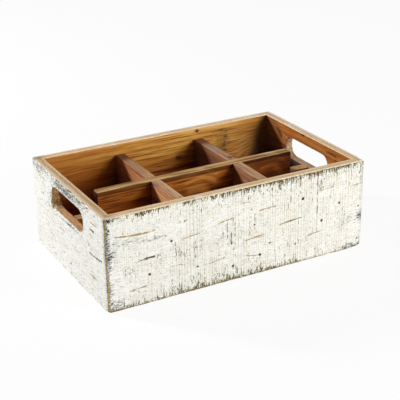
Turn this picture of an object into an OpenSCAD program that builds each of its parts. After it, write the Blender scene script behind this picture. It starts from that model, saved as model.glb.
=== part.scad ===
// Condiment caddy: a nailed wooden crate with a hand slot in each end, and three halved divider
// boards that stand loose inside it and make six compartments.
// Millimetres, +Z up. The origin is the middle of the underside, the front faces -Y and the
// length runs along X.

/* [Crate] */
// Outside length, end to end
caddy_length = 350; // [300:1:420]
// Outside width, front to back
caddy_width = 220; // [180:1:280]
// Outside height
caddy_height = 117; // [100:1:150]
// Thickness of the front, back and end boards
wall_thickness = 10.5; // [9:0.5:13]
// Radius sanded on the outer arrises
outer_arris = 1.2; // [0.4:0.1:2]

/* [Base] */
// Thickness of the base panel
base_thickness = 6; // [4:0.5:9]
// Depth of the rebate in each wall that takes the edge of the base panel
base_rebate = 5; // [3:0.5:6]
// Gap round the base panel in its rebate
base_play = 0.2; // [0.1:0.05:0.5]

/* [Hand slots] */
// Length of a hand slot, round ends included
slot_length = 97; // [80:1:110]
// Height of a hand slot
slot_height = 28; // [22:1:32]
// Wood left between a hand slot and the rim
slot_rail = 15; // [12:1:20]

/* [Dividers] */
// Thickness of the three divider boards
divider_thickness = 12; // [8:0.5:14]
// Drop from the rim to the tops of the dividers
divider_drop = 15; // [8:0.5:25]
// Distance between the middles of the two cross dividers
cross_spacing = 115.5; // [90:0.5:130]
// Shift of both cross dividers along the length, off the middle
cross_shift = -2; // [-8:0.5:8]
// Shift of the long divider towards the back, off the middle
long_shift = 1.5; // [-6:0.5:6]
// Gap on each side of a board in its halving slot, and above it
lap_play = 0.4; // [0.2:0.1:1]
// Gap between the end of a divider and the wall
divider_end_play = 0.6; // [0.3:0.1:1.5]
// Finger room between an end board and the full-height part of the long divider
finger_room = 27; // [20:1:40]
// Radius of the two upper corners of the long divider
long_corner = 4; // [1:0.5:8]

/* [Corner nails] */
// Number of nails in a corner
corner_nail_count = 3; // [2:1:5]
// Shank diameter of a corner nail
corner_nail_d = 1.8; // [1.4:0.1:2.2]
// Length of a corner nail
corner_nail_length = 28; // [22:1:36]
// Distance of the top corner nail from the rim
corner_nail_drop = 15; // [10:0.5:25]
// Height of the lowest corner nail
corner_nail_lift = 11.5; // [10:0.5:20]

/* [Base brads] */
// Number of brads along the front, and along the back
long_side_brads = 4; // [2:1:6]
// Number of brads along an end
short_side_brads = 3; // [2:1:4]
// Shank diameter of a brad
brad_d = 1.4; // [1:0.1:1.8]
// Length of a brad
brad_length = 16; // [12:1:22]
// Distance of the outer brads from the corners of the base panel
brad_inset = 35; // [30:1:50]

/* [Nail heads] */
// How much wider a head is than its shank
head_extra = 0.8; // [0.4:0.1:1.2]
// Height of a head
head_height = 1.2; // [0.8:0.1:2]
// Depth that a head is punched below the face
head_set = 0.6; // [0.2:0.1:1]
// Gap all round a nail in its hole
nail_play = 0.02; // [0.01:0.01:0.05]
// Length of a nail's point, in shank diameters
point_ratio = 1.5; // [1:0.1:2.5]

/* [Hidden] */
$fn = 48;
// How far a cutter runs past the face that it cuts
overcut = 1;

inner_length = caddy_length - 2 * wall_thickness;
inner_width = caddy_width - 2 * wall_thickness;
base_seat_length = inner_length + 2 * base_rebate;
base_seat_width = inner_width + 2 * base_rebate;

slot_top = caddy_height - slot_rail;
slot_bottom = slot_top - slot_height;
slot_straight = slot_length - slot_height;

divider_top = caddy_height - divider_drop;
divider_height = divider_top - base_thickness;
lap_level = base_thickness + divider_height / 2;
lap_width = divider_thickness + 2 * lap_play;
cross_left_x = cross_shift - cross_spacing / 2;
cross_right_x = cross_shift + cross_spacing / 2;

corner_nail_x = (caddy_length - wall_thickness) / 2;
corner_nail_top = caddy_height - corner_nail_drop;
corner_nail_step = (corner_nail_top - corner_nail_lift) / (corner_nail_count - 1);
brad_x = (inner_length + base_rebate) / 2;
brad_y = (inner_width + base_rebate) / 2;
long_brad_span = base_seat_length - 2 * brad_inset;
short_brad_span = base_seat_width - 2 * brad_inset;

painted_wood = [0.93, 0.92, 0.88];
stained_wood = [0.56, 0.33, 0.15];
divider_wood = [0.52, 0.31, 0.19];
nail_steel = [0.23, 0.21, 0.2];

// Rectangle with sanded corners, about the origin
module sanded_outline(wide, high) {
    square([wide - 2 * outer_arris, high], center = true);
    square([wide, high - 2 * outer_arris], center = true);
    for (x = [-1, 1], y = [-1, 1])
        translate([x * (wide / 2 - outer_arris), y * (high / 2 - outer_arris)])
            circle(outer_arris);
}

// The crate's outside as one block, with every outer arris sanded round after nailing up
module sanded_block() {
    translate([0, 0, caddy_height / 2]) intersection() {
        linear_extrude(caddy_height, center = true)
            sanded_outline(caddy_length, caddy_width);
        rotate([90, 0, 0]) linear_extrude(caddy_width, center = true)
            sanded_outline(caddy_length, caddy_height);
        rotate([90, 0, 90]) linear_extrude(caddy_length, center = true)
            sanded_outline(caddy_width, caddy_height);
    }
}

// The rebate's whole space, cut up from the underside
module base_seat() {
    translate([-base_seat_length / 2, -base_seat_width / 2, -overcut])
        cube([base_seat_length, base_seat_width, base_thickness + overcut]);
}

// A nail driven along +Z from a face at Z = 0, its head punched below the face
module nail(shank_d, long) {
    point = point_ratio * shank_d;
    translate([0, 0, head_set]) {
        cylinder(d = shank_d + head_extra, h = head_height);
        cylinder(d = shank_d, h = long - point);
        translate([0, 0, long - point]) cylinder(d1 = shank_d, d2 = 0, h = point);
    }
}

// The hole that such a nail leaves
module nail_hole(shank_d, long) {
    translate([0, 0, -overcut])
        cylinder(d = shank_d + head_extra + 2 * nail_play, h = overcut + head_set + head_height + nail_play);
    cylinder(d = shank_d + 2 * nail_play, h = head_set + long + nail_play);
}

// Places its children at the nails of one corner; end is -1 left or 1 right, side -1 front or 1 back
module at_corner_nails(end, side) {
    for (i = [0 : corner_nail_count - 1])
        translate([end * corner_nail_x, side * caddy_width / 2, corner_nail_lift + i * corner_nail_step])
            rotate([side * 90, 0, 0]) children();
}

// Places its children at the brads along the front (-1) or the back (1)
module at_long_brads(side) {
    for (i = [0 : long_side_brads - 1])
        translate([long_brad_span * (i / (long_side_brads - 1) - 0.5), side * brad_y, 0]) children();
}

// Places its children at the brads along the left end (-1) or the right end (1)
module at_short_brads(end) {
    for (i = [0 : short_side_brads - 1])
        translate([end * brad_x, short_brad_span * (i / (short_side_brads - 1) - 0.5), 0]) children();
}

// Front or back board: full length, capping both end boards
module side_board(side) {
    difference() {
        intersection() {
            sanded_block();
            translate([0, side * (caddy_width - wall_thickness) / 2, caddy_height / 2])
                cube([caddy_length, wall_thickness, caddy_height], center = true);
        }
        base_seat();
        for (end = [-1, 1]) at_corner_nails(end, side) nail_hole(corner_nail_d, corner_nail_length);
        at_long_brads(side) nail_hole(brad_d, brad_length);
    }
}

// Stadium-shaped cutter for a hand slot, along X
module hand_slot() {
    reach = wall_thickness + 2 * overcut;
    translate([0, 0, slot_bottom + slot_height / 2]) {
        cube([reach, slot_straight, slot_height], center = true);
        for (y = [-1, 1]) translate([0, y * slot_straight / 2, 0])
            rotate([0, 90, 0]) cylinder(d = slot_height, h = reach, center = true);
    }
}

// End board: between the front and back boards, with its hand slot
module end_board(end) {
    middle_x = end * (caddy_length - wall_thickness) / 2;
    difference() {
        intersection() {
            sanded_block();
            translate([middle_x, 0, caddy_height / 2])
                cube([wall_thickness, inner_width, caddy_height], center = true);
        }
        translate([middle_x, 0, 0]) hand_slot();
        base_seat();
        for (side = [-1, 1]) at_corner_nails(end, side) nail_hole(corner_nail_d, corner_nail_length);
        at_short_brads(end) nail_hole(brad_d, brad_length);
    }
}

// Cross divider: a plain board with one halving slot cut down from its top
module cross_divider(x) {
    long = inner_width - 2 * divider_end_play;
    translate([x, 0, 0]) difference() {
        translate([-divider_thickness / 2, -long / 2, base_thickness])
            cube([divider_thickness, long, divider_height]);
        translate([-divider_thickness / 2 - overcut, long_shift - lap_width / 2, lap_level - lap_play])
            cube([divider_thickness + 2 * overcut, lap_width, divider_height]);
    }
}

module front_board() { color(painted_wood) side_board(-1); }

module back_board() { color(painted_wood) side_board(1); }

module left_end_board() { color(painted_wood) end_board(-1); }

module right_end_board() { color(painted_wood) end_board(1); }

// Base panel: flush with the underside, held up into the rebate by the brads
module base_panel() {
    color(stained_wood) difference() {
        translate([base_play - base_seat_length / 2, base_play - base_seat_width / 2, 0])
            cube([base_seat_length - 2 * base_play, base_seat_width - 2 * base_play, base_thickness]);
        for (side = [-1, 1]) at_long_brads(side) nail_hole(brad_d, brad_length);
        for (end = [-1, 1]) at_short_brads(end) nail_hole(brad_d, brad_length);
    }
}

// Side view of the long divider: a low board end to end, a taller part between the finger rooms
module long_divider_outline() {
    low_half = inner_length / 2 - divider_end_play;
    tall_half = inner_length / 2 - finger_room;
    translate([-low_half, base_thickness]) square([2 * low_half, slot_bottom - base_thickness]);
    translate([-tall_half, base_thickness]) square([2 * tall_half, divider_height - long_corner]);
    translate([long_corner - tall_half, base_thickness])
        square([2 * (tall_half - long_corner), divider_height]);
    for (x = [-1, 1]) translate([x * (tall_half - long_corner), divider_top - long_corner])
        circle(long_corner);
}

// Long divider: halving slots cut up from its bottom edge straddle the cross dividers
module long_divider() {
    lap_ceiling = lap_level + lap_play;
    color(divider_wood) translate([0, long_shift, 0]) difference() {
        rotate([90, 0, 0]) linear_extrude(divider_thickness, center = true) long_divider_outline();
        for (x = [cross_left_x, cross_right_x])
            translate([x - lap_width / 2, -divider_thickness / 2 - overcut, base_thickness - overcut])
                cube([lap_width, divider_thickness + 2 * overcut, lap_ceiling - base_thickness + overcut]);
    }
}

module left_cross_divider() { color(divider_wood) cross_divider(cross_left_x); }

module right_cross_divider() { color(divider_wood) cross_divider(cross_right_x); }

module corner_nails(end, side) {
    color(nail_steel) at_corner_nails(end, side) nail(corner_nail_d, corner_nail_length);
}

module front_left_nails() { corner_nails(-1, -1); }

module front_right_nails() { corner_nails(1, -1); }

module back_left_nails() { corner_nails(-1, 1); }

module back_right_nails() { corner_nails(1, 1); }

module front_base_brads() { color(nail_steel) at_long_brads(-1) nail(brad_d, brad_length); }

module back_base_brads() { color(nail_steel) at_long_brads(1) nail(brad_d, brad_length); }

module left_base_brads() { color(nail_steel) at_short_brads(-1) nail(brad_d, brad_length); }

module right_base_brads() { color(nail_steel) at_short_brads(1) nail(brad_d, brad_length); }

front_board();
back_board();
left_end_board();
right_end_board();
base_panel();
long_divider();
left_cross_divider();
right_cross_divider();
front_left_nails();
front_right_nails();
back_left_nails();
back_right_nails();
front_base_brads();
back_base_brads();
left_base_brads();
right_base_brads();
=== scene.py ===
import math
from collections import namedtuple

import bpy
import numpy as np
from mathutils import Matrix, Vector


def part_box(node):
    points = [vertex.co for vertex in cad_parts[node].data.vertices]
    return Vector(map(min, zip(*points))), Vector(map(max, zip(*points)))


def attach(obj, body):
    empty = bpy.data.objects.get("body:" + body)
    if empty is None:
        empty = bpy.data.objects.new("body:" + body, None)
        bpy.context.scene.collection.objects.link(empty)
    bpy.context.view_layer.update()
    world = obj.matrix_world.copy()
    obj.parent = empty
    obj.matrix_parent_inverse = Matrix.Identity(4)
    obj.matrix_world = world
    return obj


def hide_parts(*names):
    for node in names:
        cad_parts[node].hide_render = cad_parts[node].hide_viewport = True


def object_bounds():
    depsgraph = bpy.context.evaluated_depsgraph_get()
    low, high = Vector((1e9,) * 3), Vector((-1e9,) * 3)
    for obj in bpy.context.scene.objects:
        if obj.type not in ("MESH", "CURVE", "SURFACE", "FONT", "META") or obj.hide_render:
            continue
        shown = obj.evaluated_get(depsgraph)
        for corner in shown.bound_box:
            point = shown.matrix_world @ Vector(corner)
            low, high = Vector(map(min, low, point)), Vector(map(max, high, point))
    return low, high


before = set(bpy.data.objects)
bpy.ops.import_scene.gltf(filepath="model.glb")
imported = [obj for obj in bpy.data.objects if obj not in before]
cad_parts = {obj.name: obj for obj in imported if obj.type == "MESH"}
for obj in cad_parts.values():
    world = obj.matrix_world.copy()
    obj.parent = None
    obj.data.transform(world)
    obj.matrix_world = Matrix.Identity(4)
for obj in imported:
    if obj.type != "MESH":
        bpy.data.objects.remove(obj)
cad_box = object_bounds()

# Sizes in millimetres, as in the solid model
MM = 0.001
CAD_LOW, CAD_HIGH = (np.array(corner) / MM for corner in cad_box)
LENGTH, WIDTH, HEIGHT = CAD_HIGH - CAD_LOW
WALL = 10.5
REBATE_DEPTH = 5.0
REBATE_HEIGHT = 6.0
REBATE_STOP = 169.5
SLOT_HALF_LENGTH = 48.5
SLOT_HALF_HEIGHT = 14.0
SLOT_LEVEL = 88.0
LAP_HALF_WIDTH = 6.4
LAP_CEILING = 54.4
LAP_FLOOR = 53.6
LEDGE_LEVEL = 74.0
TALL_HALF_LENGTH = 137.5
LONG_CORNER = 3.0
CROSS_NODES = ("left_cross_divider", "right_cross_divider")
CROSS_CENTRES = [sum(corner[0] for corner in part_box(node)) / 2 / MM for node in CROSS_NODES]
CROSS_HALF = 6.0
DIVIDER_TOP = 102.0
NAIL_ALONG = 169.75
NAIL_LEVELS = (11.5, 56.75, 102.0)

# Grid of the boards
FINE_STEP = 1.4
DIVIDER_STEP = 2.2
BASE_STEP = 3.5
ARRIS_STEPS = (0.0, 0.06, 0.23, 0.5, 0.85, 1.25, 1.8, 2.6)
STEP_WIDTH = 0.04
CHART_GAP = 3.0
WALL_BAND = 0.25
SEAM = 0.12
KEEN_CORNER = 1.2
UNWORN = -8.0
FAR = 1e3
NEAR = 1e-6
TINY = 1e-9

# Arris radii of the edges: outer face, inner face
CORNER_ARRIS = 1.6
WALL_FOOT_ARRIS = (1.2, 0.3)
RIM_ARRIS = (1.2, 1.0)
SLOT_ARRIS = (1.5, 1.3)
SLOT_BARE = 0.8
END_ARRIS = (0.8, 0.8)
TALL_ARRIS = (1.0, 1.0)
TOP_ARRIS = (1.1, 1.1)
LEDGE_ARRIS = (0.9, 0.9)
FOOT_ARRIS = (0.4, 0.4)
LAP_ARRIS = (0.3, 0.3)
LEAST_WORN = 0.5

# Scratches and pits
SCRATCH_DEPTH = 0.4
SCRATCH_HALF = 0.6
SCRATCH_TRACE = 0.8
PINCH_FADE = (3, 7)
PIT_SPREAD = 1.05
PIT_OVAL = 1.15

AXES = {
    "front": ((1, 0, 0), (0, 0, 1), (0, -1, 0)),
    "back": ((-1, 0, 0), (0, 0, 1), (0, 1, 0)),
    "left": ((0, -1, 0), (0, 0, 1), (-1, 0, 0)),
    "right": ((0, 1, 0), (0, 0, 1), (1, 0, 0)),
    "up": ((1, 0, 0), (0, 1, 0), (0, 0, 1)),
}


# Noise

def scatter(i, j, seed):
    """Even numbers from 0 to 1 for whole-number cells: indices times primes, mixed by shifts."""
    mixed = i.astype(np.int64).astype(np.uint32) * np.uint32(374761393)
    mixed = mixed + j.astype(np.int64).astype(np.uint32) * np.uint32(668265263)
    mixed = mixed + np.uint32(seed * 2246822519 % 2**32)
    mixed = (mixed ^ (mixed >> np.uint32(13))) * np.uint32(1274126177)
    return ((mixed ^ (mixed >> np.uint32(16))) & np.uint32(0xFFFFFF)) / float(0xFFFFFF)


def wander(u, v, seed):
    """Smooth noise from -1 to 1: hashed values on a unit grid, blended by 3t^2 - 2t^3 along u and v."""
    u, v = np.broadcast_arrays(np.asarray(u, float), np.asarray(v, float))
    i, j = np.floor(u), np.floor(v)
    s, t = u - i, v - j
    s, t = s * s * (3 - 2 * s), t * t * (3 - 2 * t)
    near = scatter(i, j, seed) * (1 - s) + scatter(i + 1, j, seed) * s
    far = scatter(i, j + 1, seed) * (1 - s) + scatter(i + 1, j + 1, seed) * s
    return 2 * (near * (1 - t) + far * t) - 1


def ease(low, high, value):
    """Smooth step: 0 below low, 1 above high, 3t^2 - 2t^3 between."""
    t = np.clip((value - low) / (high - low), 0, 1)
    return t * t * (3 - 2 * t)


# Board geometry

def rulings(low, high, step, edges=(), marks=()):
    """Grid lines about a step apart, with a fan of finer ones beside each edge and one at each mark."""
    even = np.linspace(low, high, round((high - low) / step) + 1)
    fan = [edge + side * away for edge in edges for side in (-1, 1) for away in ARRIS_STEPS]
    fixed = np.array(fan + list(marks))
    fixed = fixed[(fixed >= low) & (fixed <= high)]
    room = np.abs(even[:, None] - fixed[None, :]).min(1)
    return np.unique(np.round(np.concatenate([even[room > step / 3], fixed]), 3))


# One straight edge of an outline: its line, its outer side, its two arris radii and its wear
Edge = namedtuple("Edge", "axis at side span rounds bare wear knocks seed", defaults=(0.5, 0.35, (), 1))


def edge_distance(line, u, v):
    """Distance to an edge from its inner side, round its ends too; far away on its outer side."""
    across, along = (u, v) if line.axis == 0 else (v, u)
    depth = (line.at - across) * line.side
    past = np.maximum(np.maximum(line.span[0] - along, along - line.span[1]), 0)
    return np.where(depth < -NEAR, FAR, np.hypot(depth, past)), along


def arris(lines, u, v, sheet):
    """Drop of a sheet towards its edges and the bare wood there.

    The drop at distance d from an edge of radius r is r - sqrt(r^2 - (r - d)^2), the largest of all edges.
    The radius wanders along the edge and swells by a bell curve at each knock. Bareness is the width of
    the worn strip less the distance, in millimetres, again the largest of all edges.
    """
    drop = np.zeros_like(u)
    bare = np.full_like(u, UNWORN)
    for line in lines:
        away, along = edge_distance(line, u, v)
        swell = line.wear * (wander(along / 8, line.seed, 11) + 0.6 * wander(along / 2.7, 0.5, 12))
        radius = line.rounds[sheet] * (1 + np.clip(swell, -0.6, 0.9))
        width = line.bare
        if not np.isscalar(width):
            places, widths = zip(*width)
            width = np.interp(along, places, widths)
        width = width * np.ones_like(u)
        if line.rounds[sheet] > LEAST_WORN:
            for place, reach, extra in line.knocks if sheet == 0 else ():
                bell = extra * np.exp(-((along - place) / reach) ** 2)
                radius = radius + bell
                width = width + bell
            bare = np.maximum(bare, width - away)
        short = np.clip(radius - away, 0, None)
        drop = np.maximum(drop, radius - np.sqrt(np.maximum(radius**2 - short**2, 0)))
    return drop, bare


def round_corners(u, v, corners):
    """Square rings round an outline corner become arcs: (a, b) scaled by max(a, b) / hypot(a, b)."""
    for at_u, at_v, side_u, side_v, radius in corners:
        a = radius - (at_u - u) * side_u
        b = radius - (at_v - v) * side_v
        scale = np.maximum(a, b) / np.maximum(np.hypot(a, b), TINY)
        inside = (a > 0) & (b > 0)
        u = np.where(inside, at_u - side_u * (radius - a * scale), u)
        v = np.where(inside, at_v - side_v * (radius - b * scale), v)
    return u, v


def round_slot(u, v):
    """Square rings about the two ends of the hand slot become arcs, and fade to squares further out."""
    centre = SLOT_HALF_LENGTH - SLOT_HALF_HEIGHT
    a = np.abs(u) - centre
    b = v - SLOT_LEVEL
    ring = np.maximum(np.abs(a), np.abs(b))
    fade = np.clip(2 - ring / SLOT_HALF_HEIGHT, 0, 1)
    scale = 1 + (ring / np.maximum(np.hypot(a, b), TINY) - 1) * fade
    end = a > 0
    u = np.where(end, np.sign(u) * (centre + a * scale), u)
    return u, np.where(end, SLOT_LEVEL + b * scale, v)


def scratch_frame(u, v, scratch):
    """Place along a bowed scratch from 0 to 1, and signed distance across it in millimetres."""
    u0, v0, u1, v1, bow = scratch[:5]
    length = math.hypot(u1 - u0, v1 - v0)
    cos, sin = (u1 - u0) / length, (v1 - v0) / length
    along = ((u - u0) * cos + (v - v0) * sin) / length
    across = (v - v0) * cos - (u - u0) * sin
    return along, across - bow * 4 * along * (1 - along), (cos, sin), length


def pinch_points(u, v, holes, reach=3.2):
    """Grid drawn in towards each hole: radius r becomes r^2 / reach inside the reach."""
    for at_u, at_v, *_ in holes:
        du, dv = u - at_u, v - at_v
        scale = np.minimum(np.hypot(du, dv) / reach, 1)
        u, v = at_u + du * scale, at_v + dv * scale
    return u, v


def pinch_lines(u, v, scratches, reach=2.2):
    """Grid drawn in across each scratch: distance s becomes s |s| / reach, fading out past its ends."""
    for scratch in scratches:
        along, across, (cos, sin), length = scratch_frame(u, v, scratch)
        start, stop = (away / length for away in PINCH_FADE)
        hold = ease(-stop, -start, along) * (1 - ease(1 + start, 1 + stop, along))
        shift = across * (np.minimum(np.abs(across) / reach, 1) - 1) * hold
        shift = np.where(np.abs(across) < reach, shift, 0)
        u, v = u - shift * sin, v + shift * cos
    return u, v


def scratch_relief(u, v, scratches):
    """Scratches as V grooves: depth falls evenly from the line to its rim and tapers at both ends."""
    depth = np.zeros_like(u)
    cut = np.zeros_like(u)
    dark = np.zeros_like(u)
    for scratch in scratches:
        strength, tone = scratch[5:7]
        along, across, _, length = scratch_frame(u, v, scratch)
        taper = ease(-6 / length, 9 / length, along) * (1 - ease(1 - 8 / length, 1 + 6 / length, along))
        ragged = strength * taper * (1 + 0.6 * wander(along * length / 3, length, 21))
        groove = SCRATCH_DEPTH * ragged * np.clip(1 - np.abs(across) / SCRATCH_HALF, 0, 1)
        depth = np.maximum(depth, groove)
        trace = ragged * np.clip(1 - np.abs(across) / SCRATCH_TRACE, 0, 1)
        dark = np.where(trace > cut, tone * along, dark)
        cut = np.maximum(cut, trace)
    return depth, cut, dark


def hole_relief(u, v, holes):
    """Round pits: full depth in the middle, eased to nothing at the rim."""
    depth = np.zeros_like(u)
    pit = np.zeros_like(u)
    for at_u, at_v, radius, deep in holes:
        away = np.hypot((u - at_u) / PIT_OVAL, v - at_v) / (radius * PIT_SPREAD)
        depth = np.maximum(depth, deep * (1 - ease(0.45, 1.1, away)))
        pit = np.maximum(pit, np.clip(1.5 - away, 0, 1))
    return depth, pit


def spots(u, v, places):
    """Sum of bell-shaped spots, each with its own middle, two reaches and strength."""
    total = np.zeros_like(u)
    for at_u, at_v, reach_u, reach_v, strength in places:
        total += strength * np.exp(-((u - at_u) / reach_u) ** 2 - ((v - at_v) / reach_v) ** 2)
    return total


def saw_field(u, v, wear):
    """How thickly saw marks lie: bands under the rim and over the foot, single kerfs, and spots."""
    top, hang, foot, stand = (np.interp(u, *zip(*wear[key])) for key in ("top", "hang", "foot", "stand"))
    v = np.clip(v, 0, HEIGHT)
    under_rim = HEIGHT - v
    reach = hang * (1 + 0.7 * wander(u / 2.6, 0.5, 31))
    field = top * (0.6 * np.exp(-(under_rim / 5.0) ** 2) + 0.75 * np.exp(-(under_rim / reach) ** 1.5))
    reach = stand * (1 + 0.8 * wander(u / 2.2, 0.5, 32))
    field += foot * (0.7 * np.exp(-v / 4.0) + 0.6 * np.exp(-(v / reach) ** 1.5))
    for at_u, low, high, strength in wear["kerfs"]:
        ends = ease(low - 4, low + 2, v) * (1 - ease(high - 2, high + 4, v))
        broken = 1 + 0.9 * wander(v / 2.4, at_u, 33)
        field += 1.3 * strength * ends * broken * np.clip(1 - np.abs(u - at_u) / 1.0, 0, 1)
    return np.clip(field + spots(u, v, wear["saw"]), 0, 1.2)


def shelve(charts):
    """Packs flat charts of (width, height) on shelves: their corners and the side of the sheet."""
    order = sorted(range(len(charts)), key=lambda k: (-charts[k][1], -charts[k][0]))
    limit = max(width for width, _ in charts) + CHART_GAP
    places = [None] * len(charts)
    x = y = shelf = 0.0
    for k in order:
        width, height = charts[k][0] + CHART_GAP, charts[k][1] + CHART_GAP
        if x + width > limit + NEAR:
            x, y, shelf = 0.0, y + shelf, 0.0
        places[k] = (x + CHART_GAP / 2, y + CHART_GAP / 2)
        x, shelf = x + width, max(shelf, height)
    return places, max(limit, y + shelf)


def board(name, axes, us, vs, cells, outer, inner, traits):
    """A board as two sheets over one grid, joined by walls where a filled cell meets an empty one.

    A sheet is three arrays over the grid: place along, place up and height out. Each wall line and each
    sheet is a flat chart of its own in the bake layout. Traits are point values on the outer sheet and
    the inner sheet.
    """
    index = np.arange(len(us) * len(vs)).reshape(len(us), len(vs))
    count = index.size
    under_outer = (outer[0], outer[1], outer[2] - WALL_BAND)
    over_inner = (inner[0], inner[1], inner[2] + WALL_BAND)
    layers = [outer, under_outer, over_inner, inner]
    last = (len(layers) - 1) * count
    i, j = np.nonzero(cells)
    quads = [np.stack([index[i, j], index[i + 1, j], index[i + 1, j + 1], index[i, j + 1]], 1)]
    quads.append(quads[0][:, ::-1] + last)
    flat_outer = np.stack([outer[0].ravel(), outer[1].ravel()], 1)
    flat_inner = np.stack([inner[0].ravel(), inner[1].ravel()], 1)
    flats = [flat_outer[quads[0]], flat_inner[quads[1] - last]]
    thickness = float(np.max(outer[2]) - np.min(inner[2]))
    heights = (thickness, thickness - WALL_BAND, WALL_BAND, 0.0)
    ringed = np.pad(cells, 1)
    for axis, side in ((0, 1), (0, -1), (1, 1), (1, -1)):
        beyond = np.roll(ringed, -side, axis)[1:-1, 1:-1]
        i, j = np.nonzero(cells & ~beyond)
        line = (i if axis == 0 else j) + (side > 0)
        a = index[line, j] if axis == 0 else index[i, line]
        b = index[line, j + 1] if axis == 0 else index[i + 1, line]
        start = vs[j] if axis == 0 else us[i]
        stop = vs[j + 1] if axis == 0 else us[i + 1]
        bands = []
        band_flats = []
        for band in range(len(layers) - 1):
            ring = [(a, start, band), (a, start, band + 1), (b, stop, band + 1), (b, stop, band)]
            if (axis == 0) != (side > 0):
                ring[1], ring[3] = ring[3], ring[1]
            bands.append(np.stack([point + layer * count for point, _, layer in ring], 1))
            flat = [(along, np.full_like(along, heights[layer])) for _, along, layer in ring]
            band_flats.append(np.stack([part for pair in flat for part in pair], 1))
        for value in np.unique(line):
            quads.append(np.concatenate([band[line == value] for band in bands]))
            flats.append(np.concatenate([flat[line == value] for flat in band_flats]).reshape(-1, 4, 2))
    sizes = [flat.reshape(-1, 2).max(0) - flat.reshape(-1, 2).min(0) for flat in flats]
    places, sheet = shelve([tuple(size) for size in sizes])
    layout = [(flat - flat.reshape(-1, 2).min(0) + place) / sheet for flat, place in zip(flats, places)]
    quads, layout = np.concatenate(quads), np.concatenate(layout)
    used, corners = np.unique(quads, return_inverse=True)
    local = np.concatenate([np.stack([part.ravel() for part in layer], 1) for layer in layers])[used]
    points = local @ np.array(axes, float) * MM

    mesh = bpy.data.meshes.new(name)
    mesh.vertices.add(len(points))
    mesh.loops.add(corners.size)
    mesh.polygons.add(len(quads))
    mesh.vertices.foreach_set("co", points.astype(np.float32).ravel())
    mesh.loops.foreach_set("vertex_index", corners.astype(np.int32).ravel())
    mesh.polygons.foreach_set("loop_start", np.arange(0, corners.size, 4, dtype=np.int32))
    mesh.polygons.foreach_set("use_smooth", np.ones(len(quads), bool))
    mesh.update(calc_edges=True)
    chart = mesh.uv_layers.new(name="OFBake")
    chart.data.foreach_set("uv", layout.astype(np.float32).ravel())
    for label, sheets in traits.items():
        values = np.concatenate([sheets[side].ravel() for side in (0, 0, 1, 1)])[used]
        mesh.attributes.new(label, "FLOAT", "POINT").data.foreach_set("value", values.astype(np.float32))
    mesh.validate()
    piece = bpy.data.objects.new(name, mesh)
    bpy.context.scene.collection.objects.link(piece)
    return piece


def board_box(node, axes):
    """Lowest and highest corner of a node in its board's own along, up and out directions."""
    corners = np.array([np.array(corner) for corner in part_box(node)]) / MM @ np.array(axes, float).T
    return corners.min(0), corners.max(0)


def board_grid(low, high, step, lines, *marks):
    """Grid lines along and up, finer beside the edges, with the marks among them, and their crossings."""
    us, vs = (
        rulings(low[axis], high[axis], step, [line.at for line in lines if line.axis == axis], extra)
        for axis, extra in enumerate(marks or ((), ()))
    )
    return us, vs, *np.meshgrid(us, vs, indexing="ij")


def dress(piece, node, body, material):
    """Puts a board in the place of its solid, on its body and in its finish slot."""
    piece.data.materials.append(material)
    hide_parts(node)
    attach(piece, body)


def middles(lines):
    """Middle of each gap between neighbouring grid lines."""
    return (lines[1:] + lines[:-1]) / 2


def wall_sheets(u, v, low, high, lines, wear, seed, slotted):
    """Both sheets of a wall board with its arrises, scratches, pits and sawn waves, and their traits."""
    flat_u, flat_v = round_slot(u, v) if slotted else (u, v)
    sides = [] if slotted else [(-1, low[1], -1), (1, low[1], -1), (-1, high[1], 1), (1, high[1], 1)]
    knocked = [
        (side * high[0], level, side, up, radius)
        for (side, level, up), radius in zip(sides, wear["corners"])
    ]
    keen = [(side * high[0], level, side, up, KEEN_CORNER) for side, level, up in sides]
    drop, bare = arris(lines, u, v, 0)
    pits = wear["holes"] + wear["nails"]
    face_u, face_v = round_corners(flat_u, flat_v, knocked)
    face_u, face_v = pinch_points(*pinch_lines(face_u, face_v, wear["scratches"]), pits)
    face_u = np.clip(face_u, low[0], high[0])
    face_v = np.clip(face_v, low[1], high[1])
    groove, cut, dark = scratch_relief(face_u, face_v, wear["scratches"])
    pit_depth, pit = hole_relief(face_u, face_v, pits)
    sawn = saw_field(face_u, face_v, wear)
    grime = np.clip(spots(face_u, face_v, wear["grime"]), 0, 1.2)
    comb = np.interp(face_u, *zip(*wear["comb"]))
    wave = 0.07 * (1 + wander(face_u / 9, face_v / 30, seed)) + 0.05 * np.clip(sawn, 0, 1)
    relief = np.maximum(drop, groove + pit_depth + wave * ease(0, 2, np.minimum(high[1] - v, v)))
    outer = (face_u, face_v, high[2] - relief)
    inner_drop, inner_bare = arris(lines, u, v, 1)
    inner_u, inner_v = pinch_points(*round_corners(flat_u, flat_v, keen), wear["inner_pits"])
    inner_depth, inner_pit = hole_relief(inner_u, inner_v, wear["inner_pits"])
    rebated = v < REBATE_HEIGHT
    if not slotted:
        rebated = rebated & (np.abs(u) < REBATE_STOP)
    step = np.where(rebated, REBATE_DEPTH, np.maximum(inner_drop, inner_depth))
    inner = (inner_u, inner_v, low[2] + step)
    none = np.zeros_like(u)
    traits = {
        "bare": (bare, inner_bare), "cut": (cut, none), "dark": (dark, none), "pit": (pit, inner_pit),
        "saw": (sawn, none), "grime": (grime, none), "comb": (comb, none),
    }
    return outer, inner, traits


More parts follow.
